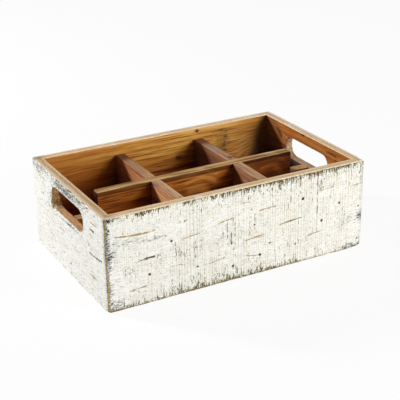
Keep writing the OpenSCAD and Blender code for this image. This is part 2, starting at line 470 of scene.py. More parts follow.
def wall_lines(low, high, slotted, wear):
    """Outline edges of a wall board: ends, foot, rim and, on an end board, the four sides of the slot."""
    ends = (SEAM if slotted else CORNER_ARRIS, SEAM)
    spans = (low[1], high[1]), (low[0], high[0])
    lines = [
        Edge(0, low[0], -1, spans[0], ends, wear["left_bare"], 0.3, wear["left_knocks"], 3),
        Edge(0, high[0], 1, spans[0], ends, wear["right_bare"], 0.3, wear["right_knocks"], 4),
        Edge(1, low[1], -1, spans[1], WALL_FOOT_ARRIS, wear["foot_bare"], 0.4, wear["foot_knocks"], 5),
        Edge(1, high[1], 1, spans[1], RIM_ARRIS, 0.5, 0.3, (), 6),
    ]
    if slotted:
        level = (SLOT_LEVEL - SLOT_HALF_HEIGHT, SLOT_LEVEL + SLOT_HALF_HEIGHT)
        across = (-SLOT_HALF_LENGTH, SLOT_HALF_LENGTH)
        reach = 3.0
        tall = (level[0] - reach, level[1] + reach)
        wide = (across[0] - reach, across[1] + reach)
        lines += [
            Edge(0, across[0], 1, tall, SLOT_ARRIS, SLOT_BARE, 0.3, wear["slot_end_knocks"], 7),
            Edge(0, across[1], -1, tall, SLOT_ARRIS, SLOT_BARE, 0.3, (), 8),
            Edge(1, level[0], 1, wide, SLOT_ARRIS, SLOT_BARE, 0.3, wear["slot_lip_knocks"], 9),
            Edge(1, level[1], -1, wide, SLOT_ARRIS, SLOT_BARE, 0.3, (), 10),
        ]
    return lines


def wall_board(node, side, wear, material, seed, slotted=False):
    """A painted wall board, replacing its solid: outline grid, both sheets, dress."""
    axes = AXES[side]
    low, high = board_box(node, axes)
    lines = wall_lines(low, high, slotted, wear)
    step_v = (REBATE_HEIGHT - STEP_WIDTH, REBATE_HEIGHT)
    marks_u = [at + away for at, *_ in wear["kerfs"] for away in (-0.9, 0, 0.9)]
    if not slotted:
        stops_u = (REBATE_STOP - STEP_WIDTH, REBATE_STOP)
        marks_u += [side * stop for side in (-1, 1) for stop in stops_u]
    us, vs, u, v = board_grid(low, high, FINE_STEP, lines, marks_u, step_v)
    cells = np.ones((len(us) - 1, len(vs) - 1), bool)
    if slotted:
        open_u = np.abs(middles(us)) < SLOT_HALF_LENGTH
        open_v = np.abs(middles(vs) - SLOT_LEVEL) < SLOT_HALF_HEIGHT
        cells &= ~(open_u[:, None] & open_v[None, :])
    outer, inner, traits = wall_sheets(u, v, low, high, lines, wear, seed, slotted)
    piece = board(node.replace("_board", "_wall"), axes, us, vs, cells, outer, inner, traits)
    dress(piece, node, "crate", material)


def plain_board(node, name, side, body, material, step, lines, corners, filled):
    """A stained board with rounded arrises, solid where filled(u, v) is true, replacing its node."""
    axes = AXES[side]
    low, high = board_box(node, axes)
    us, vs, u, v = board_grid(low, high, step, lines)
    cells = filled(*np.meshgrid(middles(us), middles(vs), indexing="ij"))
    flat_u, flat_v = round_corners(u, v, corners)
    sheets = []
    bares = []
    for sheet, face, sign in ((0, high[2], -1), (1, low[2], 1)):
        drop, bare = arris(lines, u, v, sheet)
        wave = 0.06 * (1 + wander(u / 40, v / 14, 40 + sheet))
        sheets.append((flat_u, flat_v, face + sign * np.maximum(drop, wave)))
        bares.append(bare)
    piece = board(name, axes, us, vs, cells, *sheets, {"bare": bares})
    dress(piece, node, body, material)


# Shader sums

class Socket:
    """A shader socket that takes part in Python sums: each operator adds one Math node."""

    def __init__(self, tree, link=None):
        self.tree = tree
        self.link = link

    def node(self, kind, settings=None, sockets=None, out=0):
        """Adds a node of a type, sets its settings, then fills its sockets with values or links."""
        made = self.tree.nodes.new("ShaderNode" + kind)
        settings = dict(settings or {})
        stops = settings.pop("stops", ())
        for key, value in settings.items():
            setattr(made, key, value)
        for place, (at, colour) in enumerate(stops):
            ramp = made.color_ramp.elements
            stop = ramp[place] if place < 2 else ramp.new(at)
            stop.position = at
            stop.color = colour
        for key, value in (sockets or {}).items():
            if isinstance(value, Socket):
                self.tree.links.new(value.link, made.inputs[key])
            else:
                made.inputs[key].default_value = value
        return Socket(self.tree, made.outputs[out])

    def calc(self, operation, first, *others):
        """One Math node on sockets and numbers."""
        return self.node("Math", {"operation": operation}, dict(enumerate((first, *others))))

    def __add__(self, other):
        return self.calc("ADD", self, other)

    def __sub__(self, other):
        return self.calc("SUBTRACT", self, other)

    def __rsub__(self, other):
        return self.calc("SUBTRACT", other, self)

    def __mul__(self, other):
        return self.calc("MULTIPLY", self, other)

    __radd__ = __add__
    __rmul__ = __mul__

    def most(self, other):
        """The larger of this socket and another."""
        return self.calc("MAXIMUM", self, other)

    def size(self):
        """This socket without its sign."""
        return self.calc("ABSOLUTE", self)

    def rise(self, low, high):
        """Smooth step from 0 at low to 1 at high; the other way round when low is above high."""
        settings = {"interpolation_type": "SMOOTHSTEP"}
        return self.node("MapRange", settings, {0: self, 1: low, 2: high})

    def blend(self, first, second):
        """Colour that goes from the first to the second as this socket goes from 0 to 1."""
        return self.node("Mix", {"data_type": "RGBA"}, {0: self, 6: first, 7: second}, 2)

    def noise(self, stretch, detail=2.0, rough=0.5, shift=(0, 0, 0)):
        """Noise over this vector, stretched along each axis."""
        place = self.node("VectorMath", {"operation": "MULTIPLY_ADD"}, {0: self, 1: stretch, 2: shift})
        sockets = {"Vector": place, "Scale": 1.0, "Detail": detail, "Roughness": rough}
        return self.node("TexNoise", None, sockets)

    def grain(self, along, long, short, detail=2.0, rough=0.5, shift=(0, 0, 0)):
        """Noise with the long figure along the grain axis and the short one across it, per millimetre."""
        stretch = tuple(long if axis == along else short for axis in "xyz")
        return self.noise(stretch, detail, rough, shift)

    def ramp(self, *stops):
        """Colour ramp over this socket, from stops of place and colour."""
        return self.node("ValToRGB", {"stops": stops}, {0: self})

    def away(self, middle, squeeze):
        """Distance of this vector from a middle, squeezed along each axis."""
        shift = self.node("VectorMath", {"operation": "SUBTRACT"}, {0: self, 1: middle})
        shift = self.node("VectorMath", {"operation": "MULTIPLY"}, {0: shift, 1: squeeze})
        return self.node("VectorMath", {"operation": "LENGTH"}, {0: shift}, 1)


def shade(red, green, blue):
    """A colour written as 0 to 255 display values, in linear light."""
    parts = np.array([red, green, blue]) / 255
    linear = np.where(parts < 0.04045, parts / 12.92, ((parts + 0.055) / 1.055) ** 2.4)
    return (*(float(part) for part in linear), 1.0)


def stops(places, *tones):
    """Ramp stops: each place with its tone, written as display values."""
    return [(at, shade(*tone)) for at, tone in zip(places, tones)]


def finish(name):
    """A new material, a bare socket to start sums from, place in millimetres, and its x, y and z."""
    material = bpy.data.materials.new(name)
    material.use_nodes = True
    start = Socket(material.node_tree)
    place = start.node("TexCoord", out="Object")
    place = start.node("VectorMath", {"operation": "SCALE"}, {0: place, "Scale": 1 / MM})
    parts = [start.node("SeparateXYZ", None, {0: place}, axis) for axis in range(3)]
    return material, start, place, parts


def surface(material, start, colour, roughness, height, depth, coat=None, **constants):
    """Links colour, roughness, bump and coat to the material's shader and sets its constants."""
    shader = material.node_tree.nodes["Principled BSDF"]
    links = material.node_tree.links
    links.new(colour.link, shader.inputs["Base Color"])
    links.new(roughness.link, shader.inputs["Roughness"])
    bump = start.node("Bump", None, {"Strength": 1.0, "Distance": depth * MM, "Height": height})
    links.new(bump.link, shader.inputs["Normal"])
    if coat is not None:
        links.new(coat.link, shader.inputs["Coat Weight"])
    for key, value in constants.items():
        shader.inputs[key].default_value = value
    return material


def trait(start, name):
    """A point value of the board's mesh, by its name."""
    return start.node("Attribute", {"attribute_name": name}, out="Fac")


def wood_figure(place, level, along, period, sway, shift, arches):
    """Grain from dark 0 to light 1: swaying growth rings, thin dark lines, broad streaks and fine fibres.

    At each arch the rings rise by a smooth bump and stand out more.
    """
    bold = 0.12
    for middle, squeeze, rise in arches:
        bump = place.away(middle, squeeze).rise(1, 0)
        level = level - bump * rise
        bold = bump.rise(0, 0.25) * 0.36 + bold
    drift = place.grain(along, 0.008, 0.02, 1.0, 0.4, shift)
    ripple = place.grain(along, 0.03, 0.12, 2.0, 0.5, shift)
    ring = level + (drift - 0.5) * sway + (ripple - 0.5) * 7
    ring = place.calc("SINE", ring * (2 * math.pi / period)) * 0.5 + 0.5
    fibre = place.grain(along, 0.04, 0.7, 3.0, 0.6, shift)
    streak = place.grain(along, 0.006, 0.16, 2.0, 0.55, shift)
    line = place.grain(along, 0.018, 0.5, 1.0, 0.5, shift).rise(0.54, 0.68)
    tone = ring * bold + (fibre - 0.5) * 1.05 + (streak - 0.5) * 0.95 - line * 0.3 + 0.545
    return tone, fibre


# Colours, as display values
WHITE_WARM = shade(249, 249, 244)
WHITE_THIN = shade(224, 221, 208)
OLIVE_PALE = shade(184, 176, 144)
OLIVE_DARK = shade(90, 79, 46)
SCUFF_GREY = shade(186, 187, 182)
UNDERCOAT_GREY = shade(142, 150, 155)
UNDERCOAT_BLACK = shade(40, 41, 39)
OCHRE = shade(172, 146, 94)
SCRATCH_DARK = shade(96, 86, 58)
PIT_BROWN = shade(64, 42, 8)
TAN = shade(198, 172, 122)
TAN_DARK = shade(106, 92, 54)
RIM_PALE = shade(247, 231, 198)
RIM_PINK = shade(246, 215, 170)
RIM_BROWN = shade(220, 178, 132)
RIM_LINE = shade(150, 110, 78)
RIM_LEFT = shade(150, 116, 80)
RIM_GREY = shade(112, 96, 86)
LIP_GREY = shade(138, 112, 92)
SLOT_GOLD = shade(202, 156, 84)
SLOT_BROWN = shade(92, 60, 28)
SLOT_PINK = shade(226, 164, 128)
# Painted shade, near-black, for the inside corners, beside the dividers and below the end slots
PAINTED_SHADE_BLACK = shade(38, 39, 44)
STAIN_RED = shade(118, 44, 26)
# Painted shade, umber, for the soft edge of the shade beside the dividers
PAINTED_SHADE_UMBER = shade(72, 30, 18)
STAIN_AMBER = shade(176, 100, 14)
STREAK_BROWN = shade(46, 26, 14)
END_GRAIN = shade(52, 19, 9)
# Painted shadow of the back wall, brown, for the back ends of the cross tops
TOP_SHADOW_BROWN = shade(120, 68, 42)
BRUISE_GREY = shade(150, 134, 124)
KNOT_BROWN = shade(62, 34, 18)
NAIL_DARK = shade(40, 36, 34)
NAIL_RUST = shade(74, 44, 28)

# Stains from the darkest to the lightest grain; the low-down ones are partly painted shade
WALL_TONES = (0.0, 0.35, 0.62, 1.0)
SIDE_STAIN = stops(WALL_TONES, (92, 52, 16), (168, 108, 36), (214, 154, 60), (238, 192, 104))
# Low-down stain of the long boards: part stain, part painted shade
SIDE_STAIN_AND_SHADE_LOW = stops(WALL_TONES, (52, 28, 20), (148, 65, 28), (214, 106, 44), (236, 142, 70))
END_STAIN = stops(WALL_TONES, (66, 34, 18), (142, 82, 38), (190, 122, 60), (220, 160, 92))
# Low-down stain of the end boards: darker and greyer, mostly painted shade
END_STAIN_AND_SHADE_LOW = stops(WALL_TONES, (60, 38, 32), (110, 66, 50), (150, 96, 72), (180, 126, 94))
INNER_TONES = (0.0, 0.35, 0.65, 1.0)
LONG_STAIN = stops(INNER_TONES, (64, 36, 18), (146, 80, 34), (202, 122, 46), (230, 162, 78))
LEFT_CROSS_STAIN = stops(INNER_TONES, (88, 48, 28), (160, 98, 60), (210, 148, 98), (232, 180, 126))
RIGHT_CROSS_STAIN = stops(INNER_TONES, (66, 38, 26), (120, 76, 52), (162, 110, 76), (196, 148, 108))
# Base stain darkened as painted shade, so that the base bounces less light into the compartments
BASE_STAIN_AND_SHADE = stops(INNER_TONES, (40, 26, 18), (84, 52, 32), (112, 70, 42), (140, 96, 60))
LONG_TOP = stops((0.15, 0.45, 0.6, 0.9), (92, 62, 34), (166, 124, 76), (198, 158, 104), (228, 192, 142))
CROSS_TOP = stops((0.1, 0.5, 0.9), (98, 66, 48), (180, 136, 98), (230, 190, 144))
SLOT_SAWN = stops((0.36, 0.5, 0.66), (84, 50, 26), (192, 142, 92), (238, 200, 152))

# Marks in the wood: middle, squeeze along each axis, strength or rise in millimetres, tint if not dark
BACK_FACE = 99.5
RIGHT_FACE = 164.5
LONG_FACE = -4.5
ONE_END = 0.01
BACK_KNOTS = [
    ((x, BACK_FACE, z), (narrow, 0, low), strength) for x, z, narrow, low, strength in (
        (26, 80.6, 0.12, 0.17, 0.8), (54.6, 113, 0.22, 0.3, 0.9), (96, 93, 0.07, 0.05, 0.3),
        (99.5, 104.5, 0.24, 0.55, 0.6), (98.8, 97, 0.22, 0.34, 0.75), (96.5, 85.3, 0.3, 0.24, 0.75),
        (97.8, 78.3, 0.24, 0.4, 0.6), (84.1, 101, 0.5, 0.6, 0.45), (91.9, 107.5, 0.2, 0.75, 0.55),
        (87, 95, 0.32, 0.7, 0.45),
    )
]
BACK_ARCHES = [((168, BACK_FACE, 46), (0.0132, 0, 0.0122), 36.0)]
END_KNOTS = [
    ((RIGHT_FACE, y, z), (ONE_END, narrow, low), strength) for y, z, narrow, low, strength in (
        (69, 105, 0.26, 0.24, 0.95), (64.5, 101.8, 0.24, 0.2, 0.95), (60.5, 98.6, 0.3, 0.26, 0.95),
        (8.5, 115, 0.2, 0.3, 0.95), (-55, 109, 0.06, 0.5, 0.75), (-64.5, 108.6, 0.16, 0.5, 0.7),
        (-66, 103, 0.14, 0.5, 0.6),
    )
]
LONG_KNOTS = [
    ((x, LONG_FACE, z), (narrow, 0, low), strength) for x, z, narrow, low, strength in (
        (-120, 87, 0.06, 0.7, 0.8), (-108, 80, 0.05, 0.7, 0.6), (-129, 93, 0.09, 0.7, 0.7),
        (-95, 90, 0.06, 0.8, 0.4),
    )
]
LONG_ARCHES = [((4, LONG_FACE, 88), (0.034, 0, 0.034), 9.0), ((110, LONG_FACE, 86), (0.04, 0, 0.05), 7.0)]
RIM_MARKS = [((-172, 107, 117), (0.09, 0.09, 0.2), 0.6, RIM_GREY)]
PAINT_MARKS = [((-175, 106, 111), (0.1, 0.14, 0.13), 0.75, UNDERCOAT_GREY)]
PAINT_DAB = (-55, -106, 117)
CHIP = [((58.5, 17, 102), (0.3, 0.16, 0.25), 0.95), ((56, 52, 102), (0.1, 0.07, 0.5), 0.7, BRUISE_GREY)]

# Paint: the noise level at which it is gone, and how far wear lowers that level
PAINT_HOLD = 0.587
DASH_HOLD = 0.06
SAW_BITE = 0.181
COMB_BITE = 0.032
CLOUD_BITE = 0.01
COMB_PITCH = 3.1

# Painted shade beside the dividers, near-black and umber: share, and reach in millimetres
PAINTED_SHADE_SHARE = 0.85
PAINTED_SHADE_REACH = 14
WALL_SHADE_UMBER, WALL_SHADE_UMBER_REACH = 0.5, 30
DIVIDER_SHADE_UMBER, DIVIDER_SHADE_UMBER_REACH = 0.4, 24
RAGGED = 8
SATIN = 0.3
END_SATIN = 0.1


def coats(colour, *layers):
    """Colour under further coats: each layer is a mask and the colour that it lays on."""
    for mask, tone in layers:
        colour = mask.blend(colour, tone)
    return colour


def knotted(place, colour, ragged, knots):
    """Colour with spots: ellipses about their middles with ragged rims, dark unless they have a tint."""
    for middle, squeeze, strength, *tint in knots:
        spot = (place.away(middle, squeeze) + ragged).rise(1.0, 0.3)
        colour = (spot * strength).blend(colour, tint[0] if tint else KNOT_BROWN)
    return colour


def left_gaps(x):
    """Distance to the left of each cross divider; to its right the distance grows four times as fast."""
    gaps = []
    for centre in CROSS_CENTRES:
        aside = centre - x
        gaps.append(aside.most(aside * -4) - CROSS_HALF)
    return gaps


def shade_beside_divider(gap, z, ragged, reach):
    """Painted shade beside a divider: less with the gap to it, more with the depth below its top."""
    near = (gap + (z - DIVIDER_TOP) * 0.15 + ragged).rise(reach, -12)
    return near * z.rise(DIVIDER_TOP + 5, DIVIDER_TOP - 30)


def paint_coat(start, place, x, y, grit, chew, look):
    """Worn paint and its height: white that thins in ruled lines, specks and smears where it is gone.

    Saw marks, combing, grime, scratches and bare edges follow the board's point values.
    """
    along, dash_share = look["along"], look["dash_share"]
    drift = place.noise((0.03, 0.03, 0.0), 1.0, 0.4, (6, 2, 3))
    ruled = place.calc("SINE", (x + y) * (2 * math.pi / COMB_PITCH) + drift * 40) * 0.5 + 0.5
    patch = place.noise((0.05, 0.05, 0.025), 2.0, 0.5, (3, 9, 4)).rise(0.32, 0.58)
    tine = place.noise((0.4, 0.4, 0.012), 1.0, 0.5, (1, 5, 2)).rise(0.28, 0.6)
    ruled = ruled * ruled * patch * tine * trait(start, "comb")
    column = place.noise((0.7, 0.7, 0.03), 1.0, 0.5)
    dash = place.noise(look["dash_grain"], 1.0, 0.5)
    speck = place.noise((1.05, 1.05, 0.95), 2.0, 0.6)
    tooth = column * 0.25 + dash * dash_share + speck * (0.75 - dash_share)
    cloud = place.noise((0.02, 0.02, 0.03), 2.0, 0.5, (8, 1, 5)).rise(0.45, 0.62)
    level = PAINT_HOLD + dash_share * DASH_HOLD - trait(start, "saw") * SAW_BITE
    level = level - ruled * COMB_BITE - cloud * CLOUD_BITE
    pale = tooth.rise(level - 0.025, level + 0.025)
    deep = tooth.rise(level + 0.025, level + 0.06)
    mottle = place.noise((0.05, 0.05, 0.16), 3.0, 0.6)
    scuff = place.grain(along, *look["scuff_grain"], 2.0, 0.6, (4, 4, 1))
    thin = (mottle * 0.25 + ruled * 0.3 + speck * 0.5 + scuff * 0.3).rise(0.42, 0.76)
    smear = place.grain(along, 0.3, 0.95, 2.0, 0.6, (2, 5, 8))
    shallow = 0.67 - trait(start, "grime") * 0.25
    cut = trait(start, "cut") + (grit - 0.5) * 0.5
    colour = coats(
        thin.blend(WHITE_WARM, WHITE_THIN),
        (scuff.rise(0.55, 0.66) * look["scuffed"], SCUFF_GREY),
        (pale * 0.7, OLIVE_PALE),
        (deep, OLIVE_DARK),
        (smear.rise(shallow - 0.1, shallow + 0.04) * 0.65, UNDERCOAT_GREY),
        (smear.rise(shallow + 0.06, shallow + 0.14), UNDERCOAT_BLACK),
        (cut.rise(0.18, 0.5), OCHRE),
        ((cut * 0.5 + trait(start, "dark") * 0.5).rise(0.5, 0.75), SCRATCH_DARK),
    )
    strip = trait(start, "bare") + (chew - 0.5) * 2.4 + (grit - 0.5) * 0.8
    if along == "x":
        lip = strip.rise(-1.6, -0.3) * (1 - strip.rise(0.0, 0.5)) * speck.rise(0.42, 0.56)
        colour = (lip * (0.85 - x.rise(40, 100) * 0.35)).blend(colour, OLIVE_DARK)
        colour = knotted(place, colour, (chew + grit - 1) * 1.2, PAINT_MARKS)
    worn = strip.rise(-0.15, 0.2)
    timber = place.grain(along, 0.1, 1.0, 3.0, 0.6).rise(0.35, 0.6).blend(TAN_DARK, TAN)
    height = pale * -0.35 + deep * -0.35 + worn * -0.3 - ruled * 0.2
    return worn.blend(colour, timber), height


def bare_wood(place, x, y, z, depth, grit, chew, along):
    """Sanded rim over rough slot walls, and their fibre.

    The rim is paler towards both faces, browner on the left, split along a line and dabbed with paint.
    The slot walls are sawn, golden at the slot's ends, pink below and wiped with paint here and there.
    """
    fibre = place.grain(along, 0.03, 1.1, 3.0, 0.6, (1, 1, 6))
    across = depth + (fibre - 0.5) * 3
    left_rim = x.rise(-150, -168)
    rim = coats(
        fibre.rise(0.4, 0.6).blend(RIM_BROWN, RIM_PINK),
        (across.rise(3.6, 1.2) * 0.9, RIM_PALE),
        (across.rise(WALL - 3, WALL - 1) * 0.45, RIM_PALE),
        (left_rim * 0.24, RIM_LEFT),
        (left_rim * (across - WALL * 0.62).size().rise(2.0, 0.6) * 0.55, RIM_LINE),
    )
    rim = knotted(place, rim, (fibre + grit - 1) * 0.8, RIM_MARKS)
    split = (across - WALL * 0.42).size().rise(0.8, 0.2) * chew.rise(0.42, 0.56)
    far_side = (x * 0.0012 + y * 0.0022).rise(0.0, 0.3)
    whitened = (chew * 0.5 + fibre * 0.5 + far_side * 0.07).rise(0.57, 0.66)
    dab = (place.away(PAINT_DAB, (0.16, 0.3, 0.3)) + (grit - 0.5) * 0.8).rise(1.0, 0.7)
    rim = coats(rim, (split * 0.75, RIM_LINE), (whitened.most(dab) * 0.7, WHITE_WARM))
    rough = place.grain(along, 0.12, 0.5, 3.0, 0.65, (9, 2, 2))
    pores = place.noise((0.5, 0.5, 0.07), 2.0, 0.6, (3, 3, 7)) + z.rise(92, 101) * 0.06
    right_hand = x.rise(0, 100)
    wiped = (rough + (y.size() - 34).rise(0, 8) * 0.06 + right_hand * 0.04).rise(0.6, 0.7)
    sawn = coats(
        (fibre * 0.6 + rough * 0.4).ramp(*SLOT_SAWN),
        (y.size().rise(37, 42) * 0.65, pores.rise(0.46, 0.6).blend(SLOT_GOLD, SLOT_BROWN)),
        (z.rise(80, 76) * x.rise(0, -100) * y.size().rise(42, 37) * 0.32, SLOT_PINK),
        (right_hand * 0.5, LIP_GREY),
        (wiped * 0.35, WHITE_THIN),
    )
    return (z + (grit - 0.5) * 2).rise(HEIGHT - 6, HEIGHT - 4).blend(sawn, rim), fibre


def inner_stain(place, x, y, z, depth, grit, look):
    """Stained inside and its fibre: darker and redder low down, partly as painted shade, amber at the
    sides, the front and left inner faces painted darker, and painted shade in the corners, beside the
    dividers and below the end slots.
    """
    along = look["along"]
    tone, fibre = wood_figure(place, z + depth * 0.5, along, 9.0, 34.0, (0, 0, 4), look["arches"])
    # Painted shade: the front board's and the left end board's inner faces darker, so that they bounce less
    # light into the shade
    tone = tone - (y if along == "x" else x).rise(0, -90) * 0.25
    # Darker and redder low down: partly stain, partly painted shade
    sunk = z + (tone - 0.5) * 12
    sunk = (sunk + x * 0.08).rise(101, 45) if along == "x" else sunk.rise(98, 82)
    amber = x.rise(20, -150).most(x.rise(100, 145) * 0.7) * 0.62
    if along == "y":
        amber = amber * (1 - sunk)
    stained = coats(
        tone.ramp(*look["stain"]),
        (sunk * 0.85, tone.ramp(*look["stain_and_shade_low"])),
        (sunk * x.rise(-20, -130) * 0.5, STAIN_RED),
        (amber, STAIN_AMBER),
    )
    stained = knotted(place, stained, (fibre + grit - 1) * 0.8, look["knots"])
    # Painted shade, near-black and umber: in the inside corners, left of each cross divider, and on the end
    # boards below the slot
    ragged = (tone - 0.5) * RAGGED
    into_corner = (x - LENGTH / 2 if along == "x" else (y - WIDTH / 2) * 0.5) + WALL + ragged
    into_corner = into_corner + (z - HEIGHT) * -0.3
    painted_shade = into_corner.rise(-14, 0) * (0.7 if along == "x" else 0.45)
    if along == "x":
        for gap in left_gaps(x):
            umber_shade = shade_beside_divider(gap, z, ragged, WALL_SHADE_UMBER_REACH) * WALL_SHADE_UMBER
            stained = umber_shade.blend(stained, PAINTED_SHADE_UMBER)
            painted_shade = painted_shade.most(shade_beside_divider(gap, z, ragged, PAINTED_SHADE_REACH) * PAINTED_SHADE_SHARE)
    else:
        painted_shade = painted_shade.most(z.rise(80, 68) * 0.92)
    return painted_shade.blend(stained, PAINTED_SHADE_BLACK), fibre


def wall_finish(name, look):
    """Worn white paint outside, sanded bare rim, stained inside with painted shade, chosen by depth below
    the outer faces.
    """
    material, start, place, (x, y, z) = finish(name)
    depth = 0 - (x.size() - LENGTH / 2).most(y.size() - WIDTH / 2)
    grit = place.noise((0.8, 0.8, 0.8), 3.0, 0.6)
    chew = place.noise((0.35, 0.35, 0.2), 2.0, 0.5, (7, 3, 1))
    painted = (depth + (grit - 0.5) * 0.6).rise(2.2, 1.8)
    painted = painted * (z + (grit - 0.5) * 1.2 + (chew - 0.5) * 1.5).rise(HEIGHT - 0.5, HEIGHT - 1.0)
    inside = depth.rise(WALL - 0.6, WALL - 0.3) * (z + (grit - 0.5)).rise(HEIGHT - 0.6, HEIGHT - 1.2)
    paint, dents = paint_coat(start, place, x, y, grit, chew, look)
    wood, fibre = bare_wood(place, x, y, z, depth, grit, chew, look["along"])
    stained, stain_fibre = inner_stain(place, x, y, z, depth, grit, look)
    pit = trait(start, "pit").rise(0.38, 0.6)
    colour = coats(wood, (painted, paint), (inside, stained), (pit, PIT_BROWN))
    roughness = painted * 0.12 + 0.58 - inside * 0.12 + (grit - 0.5) * 0.2
    height = dents * painted + fibre * 0.2 + stain_fibre * 0.3
    gloss = {"Specular IOR Level": 0.2, "Coat Roughness": 0.4}
    return surface(material, start, colour, roughness, height, 0.35, inside * 0.5, **gloss)


def stained_finish(
    name, along, shift, stain, top_stain, top_level,
    streak_depth=0.0, arches=(), knots=(), dull=None, end_grain=(), back_wall_shadow=(),
):
    """Stained divider or base wood with sanded, paler edges and, where asked, a dark streak below the top.

    The wood is darker low down as painted shade, and on the dividers painted shade lies beside the joints:
    left of each cross divider on the long divider, near the walls on the cross dividers. Dull gives an
    axis, two places along it, and how much darker and calmer the wood is at the second place. End grain
    gives how far out and how high up the dark ends begin. Back wall shadow gives two places between which
    the top goes from sanded to a painted shadow of the back wall.
    """
    material, start, place, (x, y, z) = finish(name)
    grit = place.noise((0.7, 0.7, 0.7), 3.0, 0.6)
    tone, fibre = wood_figure(place, z + (x + y) * 0.15, along, 13.0, 40.0, shift, arches)
    clean_tone = tone
    if dull:
        axis, clear, dim, amount = dull
        tone = tone - (x if axis == "x" else y).rise(clear, dim) * ((tone - 0.5) * 0.45 + amount)
    # Painted shade: the wood darker low down, deep in the compartments
    tone = tone - z.rise(70, 20) * 0.25
    colour = tone.ramp(*stain)
    if streak_depth:
        below = (z + (tone - 0.5) * 2).rise(top_level - streak_depth - 1.5, top_level - streak_depth)
        colour = (below * 0.75).blend(colour, STREAK_BROWN)
    # Painted shade beside the joints, umber and near-black: left of each cross divider on the long divider,
    # near the walls on the cross dividers
    gaps = left_gaps(x) if along == "x" else [WIDTH / 2 - WALL - y.size()]
    ragged = (tone - 0.5) * RAGGED
    for gap in gaps if top_level < HEIGHT else ():
        colour = coats(
            colour,
            (shade_beside_divider(gap, z, ragged, DIVIDER_SHADE_UMBER_REACH) * DIVIDER_SHADE_UMBER, PAINTED_SHADE_UMBER),
            (shade_beside_divider(gap, z, ragged, PAINTED_SHADE_REACH) * PAINTED_SHADE_SHARE, PAINTED_SHADE_BLACK),
        )
    strip = (trait(start, "bare") + (grit - 0.5) * 1.5).rise(-0.3, 0.4)
    top = z.rise(top_level - 0.7, top_level - 0.3).most(strip * 0.6)
    sanded = (clean_tone if along == "x" else tone).ramp(*top_stain)
    # Painted shadow of the back wall across the back ends of the cross tops
    if back_wall_shadow:
        sanded = ((y + (grit - 0.5) * 12).rise(*back_wall_shadow) * 0.85).blend(sanded, TOP_SHADOW_BROWN)
    colour = top.blend(colour, sanded)
    if end_grain:
        out, over = end_grain
        ledges = x.size().rise(out, out + 0.5) * z.rise(over - 0.7, over - 0.3)
        ends = x.size().rise(out - 0.9, out - 0.4) * z.rise(over, over + 0.7)
        colour = coats(colour, (ledges * 0.7, sanded), (ends, END_GRAIN))
        top = top.most(ends * 3)
    colour = knotted(place, colour, (fibre + grit - 1) * 0.8, knots)
    roughness = 0.5 + (fibre - 0.5) * 0.3 + top * 0.12
    gloss = {"Specular IOR Level": END_SATIN if end_grain else SATIN}
    return surface(material, start, colour, roughness, fibre, 0.25, **gloss)


def nail_finish(name):
    """Dull dark steel with rust in patches."""
    material, start, place, _ = finish(name)
    patch = place.noise((1.6, 1.6, 1.6), 3.0, 0.6)
    colour = patch.rise(0.45, 0.65).blend(NAIL_DARK, NAIL_RUST)
    roughness = patch * 0.5 + 0.35
    return surface(material, start, colour, roughness, patch, 0.1, Metallic=0.7)


# Wear of the walls, in each board's own along and up directions

NAIL_PIT = (1.0, 0.85)
NAILS = [(side * NAIL_ALONG, level, *NAIL_PIT) for side in (-1, 1) for level in NAIL_LEVELS]
NO_WEAR = dict.fromkeys((
    "scratches", "holes", "nails", "inner_pits", "kerfs", "corners", "left_knocks", "right_knocks",
    "foot_knocks", "slot_end_knocks", "slot_lip_knocks",
), [])

